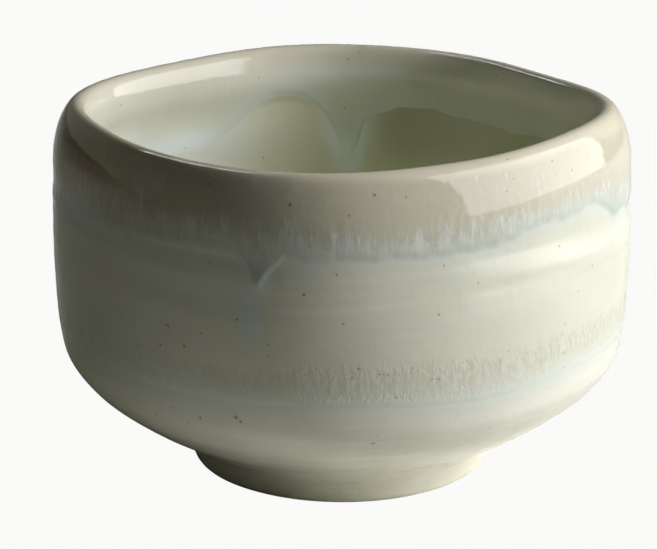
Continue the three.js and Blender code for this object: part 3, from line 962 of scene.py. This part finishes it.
def stoneware(name, offset):
    n = Net(name)
    W = n.attr("wrap")
    mott = n.noise(W, .22, 4, .6, offset=offset)
    grain = n.noise(W, 3.2, 4, .7, offset=offset)
    col = n.mix(n.step(mott, .36, .66), (.335, .262, .178), (.420, .338, .240))
    col = n.mix(n.mul(n.step(grain, .45, .75), .45), col, (.50, .43, .33))
    d, c = n.cells(W, .9, offset=offset)
    r, g0, b0 = n.split(c)
    iron = n.mul(n.step(r, .78, .82), n.step(d, .22, .10))
    col = n.mix(n.mul(iron, .8), col, (.085, .055, .035))
    d3, c3 = n.cells(W, 1.7, offset=(4, 4, 9))
    r3, _, _ = n.split(c3)
    grog = n.mul(n.step(r3, .84, .87), n.step(d3, .28, .12))
    col = n.mix(n.mul(grog, .7), col, (.62, .56, .47))
    n.put(n.bsdf.inputs["Base Color"], col)
    n.put(n.bsdf.inputs["Roughness"], n.step(grain, .3, .7, .74, .92))
    n.bsdf.inputs["Specular IOR Level"].default_value = 0.3
    nrm = n.bump(n.add(n.mul(grain, 1.0), n.mul(mott, .5)), 0.00022)
    nrm = n.bump(n.add(n.mul(iron, -.6), grog), 0.00012, normal=nrm)
    n.put(n.bsdf.inputs["Normal"], nrm)
    return n.mat


for name, zone in (("rim_glaze", "rim"), ("body_glaze", "body"), ("base_glaze", "base"), ("inner_glaze", "inner")):
    pieces[name].data.materials.append(glaze(name, zone))
pieces["clay_body"].data.materials.append(stoneware("stoneware_body", (0, 0, 0)))
pieces["foot_ring"].data.materials.append(stoneware("stoneware_foot", (3, 6, 2)))

# ------------------------------------------------------------ floor and light
floor_mesh = bpy.data.meshes.new("floor")
R = 12.0
floor_mesh.from_pydata([(-R, -R, 0), (R, -R, 0), (R, R, 0), (-R, R, 0)], [], [(0, 1, 2, 3)])
floor = bpy.data.objects.new("floor", floor_mesh)
floor.location.z = -0.00002
bpy.context.scene.collection.objects.link(floor)
fm = Net("floor")
fm.nt.nodes.remove(fm.bsdf)
glow_ = fm.nt.nodes.new("ShaderNodeEmission")
glow_.inputs["Color"].default_value = (.955, .955, .945, 1)
table_ = fm.nt.nodes.new("ShaderNodeBsdfDiffuse")
spot_ = fm.nt.nodes.new("ShaderNodeTexCoord")
far_ = fm.length(spot_.outputs["Object"])
left_ = fm.split(spot_.outputs["Object"])[0]
front_ = fm.split(spot_.outputs["Object"])[1]
across_ = fm.add(fm.mul(left_, .84), fm.mul(front_, .54))
# painted shadow on the table's colour, which only bounced light sees: on the left and front side it darkens beyond
# about 0.1 to 0.2 m out, and close to the foot on the left it is dark; the camera sees the even pale emission instead
dim_ = fm.mix(fm.step(far_, .09, .20), (.95, .95, .87), (.42, .42, .375))
table_with_painted_shadow = fm.mix(fm.step(across_, .030, -.070), (.93, .93, .86), dim_)
shade_ = fm.mul(fm.step(far_, .075, .035), fm.step(left_, .0, -.02))
fm.link(fm.mix(shade_, table_with_painted_shadow, (.42, .42, .38)), table_.inputs["Color"])
path_ = fm.nt.nodes.new("ShaderNodeLightPath")
pick_ = fm.nt.nodes.new("ShaderNodeMixShader")
fm.link(path_.outputs["Is Camera Ray"], pick_.inputs[0])
fm.link(table_.outputs[0], pick_.inputs[1])
fm.link(glow_.outputs[0], pick_.inputs[2])
fm.link(pick_.outputs[0], fm.out.inputs["Surface"])
floor_mesh.materials.append(fm.mat)


def panel(name, centre, toward, width, height, watts, colour=(1, 1, 1), spread=180):
    d = bpy.data.lights.new(name, "AREA")
    d.shape, d.size, d.size_y = "RECTANGLE", width, height
    d.energy, d.color, d.spread = watts, colour, math.radians(spread)
    o = bpy.data.objects.new(name, d)
    o.location = centre
    v = Vector(toward).normalized()
    o.rotation_euler = v.to_track_quat("-Z", "Y").to_euler()
    bpy.context.scene.collection.objects.link(o)
    o.visible_camera = False
    return o


# A tall soft light stands to the right. Its broad light and its clean reflection in the glaze are set apart.
H = 0.50
PA, PB = Vector((1.04 * H, -0.49 * H, 0)), Vector((2.77 * H, 1.80 * H, 0))
along = PB - PA
nrm_ = Vector((-along.y, along.x, 0)).normalized()


def on_wall(name, t0, t1, z0, z1, radiance, colour=(1, 1, 1), ahead=0.0):
    c, w, h = PA + along * ((t0 + t1) / 2) + nrm_ * ahead, along.length * (t1 - t0), z1 - z0
    return panel(name, (c.x, c.y, (z0 + z1) / 2), nrm_, w, h, radiance * math.pi * w * h, colour)


key = on_wall("key", 0.01, 0.32, 0.17, 0.585, 11.7, (1.01, 0.985, 1.075))
key.visible_glossy = False
far_key = on_wall("far_key", 0.32, 0.58, 0.17, 0.585, 5.8, (1.01, 0.985, 1.075))
far_key.visible_glossy = False
card = on_wall("card", -0.05, 0.66, 0.0, 0.578, 3.6, ahead=0.02)
card.visible_diffuse = False
glint = panel("glint", (-0.34, 0.47, 0.82), (0.34, -0.47, -0.78), 0.16, 0.52, 5.5 * math.pi * 0.16 * 0.52)
glint.visible_diffuse = False

world = bpy.data.worlds.new("studio")
bpy.context.scene.world = world
world.use_nodes = True
wt = world.node_tree
wt.nodes.clear()
wo = wt.nodes.new("ShaderNodeOutputWorld")
seen = wt.nodes.new("ShaderNodeBackground")
seen.inputs[0].default_value, seen.inputs[1].default_value = (.955, .955, .945, 1), 1.0
amb = wt.nodes.new("ShaderNodeBackground")
geo = wt.nodes.new("ShaderNodeTexCoord")
sep = wt.nodes.new("ShaderNodeSeparateXYZ")


def world_step(v, a, b, c, d):
    r = wt.nodes.new("ShaderNodeMapRange")
    r.interpolation_type = "SMOOTHSTEP"
    for k, x in enumerate((a, b, c, d), 1):
        r.inputs[k].default_value = x
    wt.links.new(v, r.inputs[0])
    return r.outputs[0]


# a paler wall low down behind the bowl, and a dim room
back_ = world_step(sep.outputs[1], -0.25, 0.55, 0.02, 0.17)
low_ = world_step(sep.outputs[2], 0.18, 0.70, 1.0, 0.45)
wall_ = wt.nodes.new("ShaderNodeMath")
wall_.operation = "MULTIPLY_ADD"
wt.links.new(back_, wall_.inputs[0])
wt.links.new(low_, wall_.inputs[1])
wall_.inputs[2].default_value = 0.018
lp = wt.nodes.new("ShaderNodeLightPath")
mx = wt.nodes.new("ShaderNodeMixShader")
wt.links.new(geo.outputs["Generated"], sep.inputs[0])
amb.inputs[0].default_value = (1.0, 1.0, 0.80, 1)
wt.links.new(wall_.outputs[0], amb.inputs[1])
wt.links.new(lp.outputs["Is Camera Ray"], mx.inputs[0])
wt.links.new(amb.outputs[0], mx.inputs[1])
wt.links.new(seen.outputs[0], mx.inputs[2])
wt.links.new(mx.outputs[0], wo.inputs[0])

bpy.context.scene.view_settings.view_transform = "Standard"
bpy.context.scene.view_settings.look = "None"
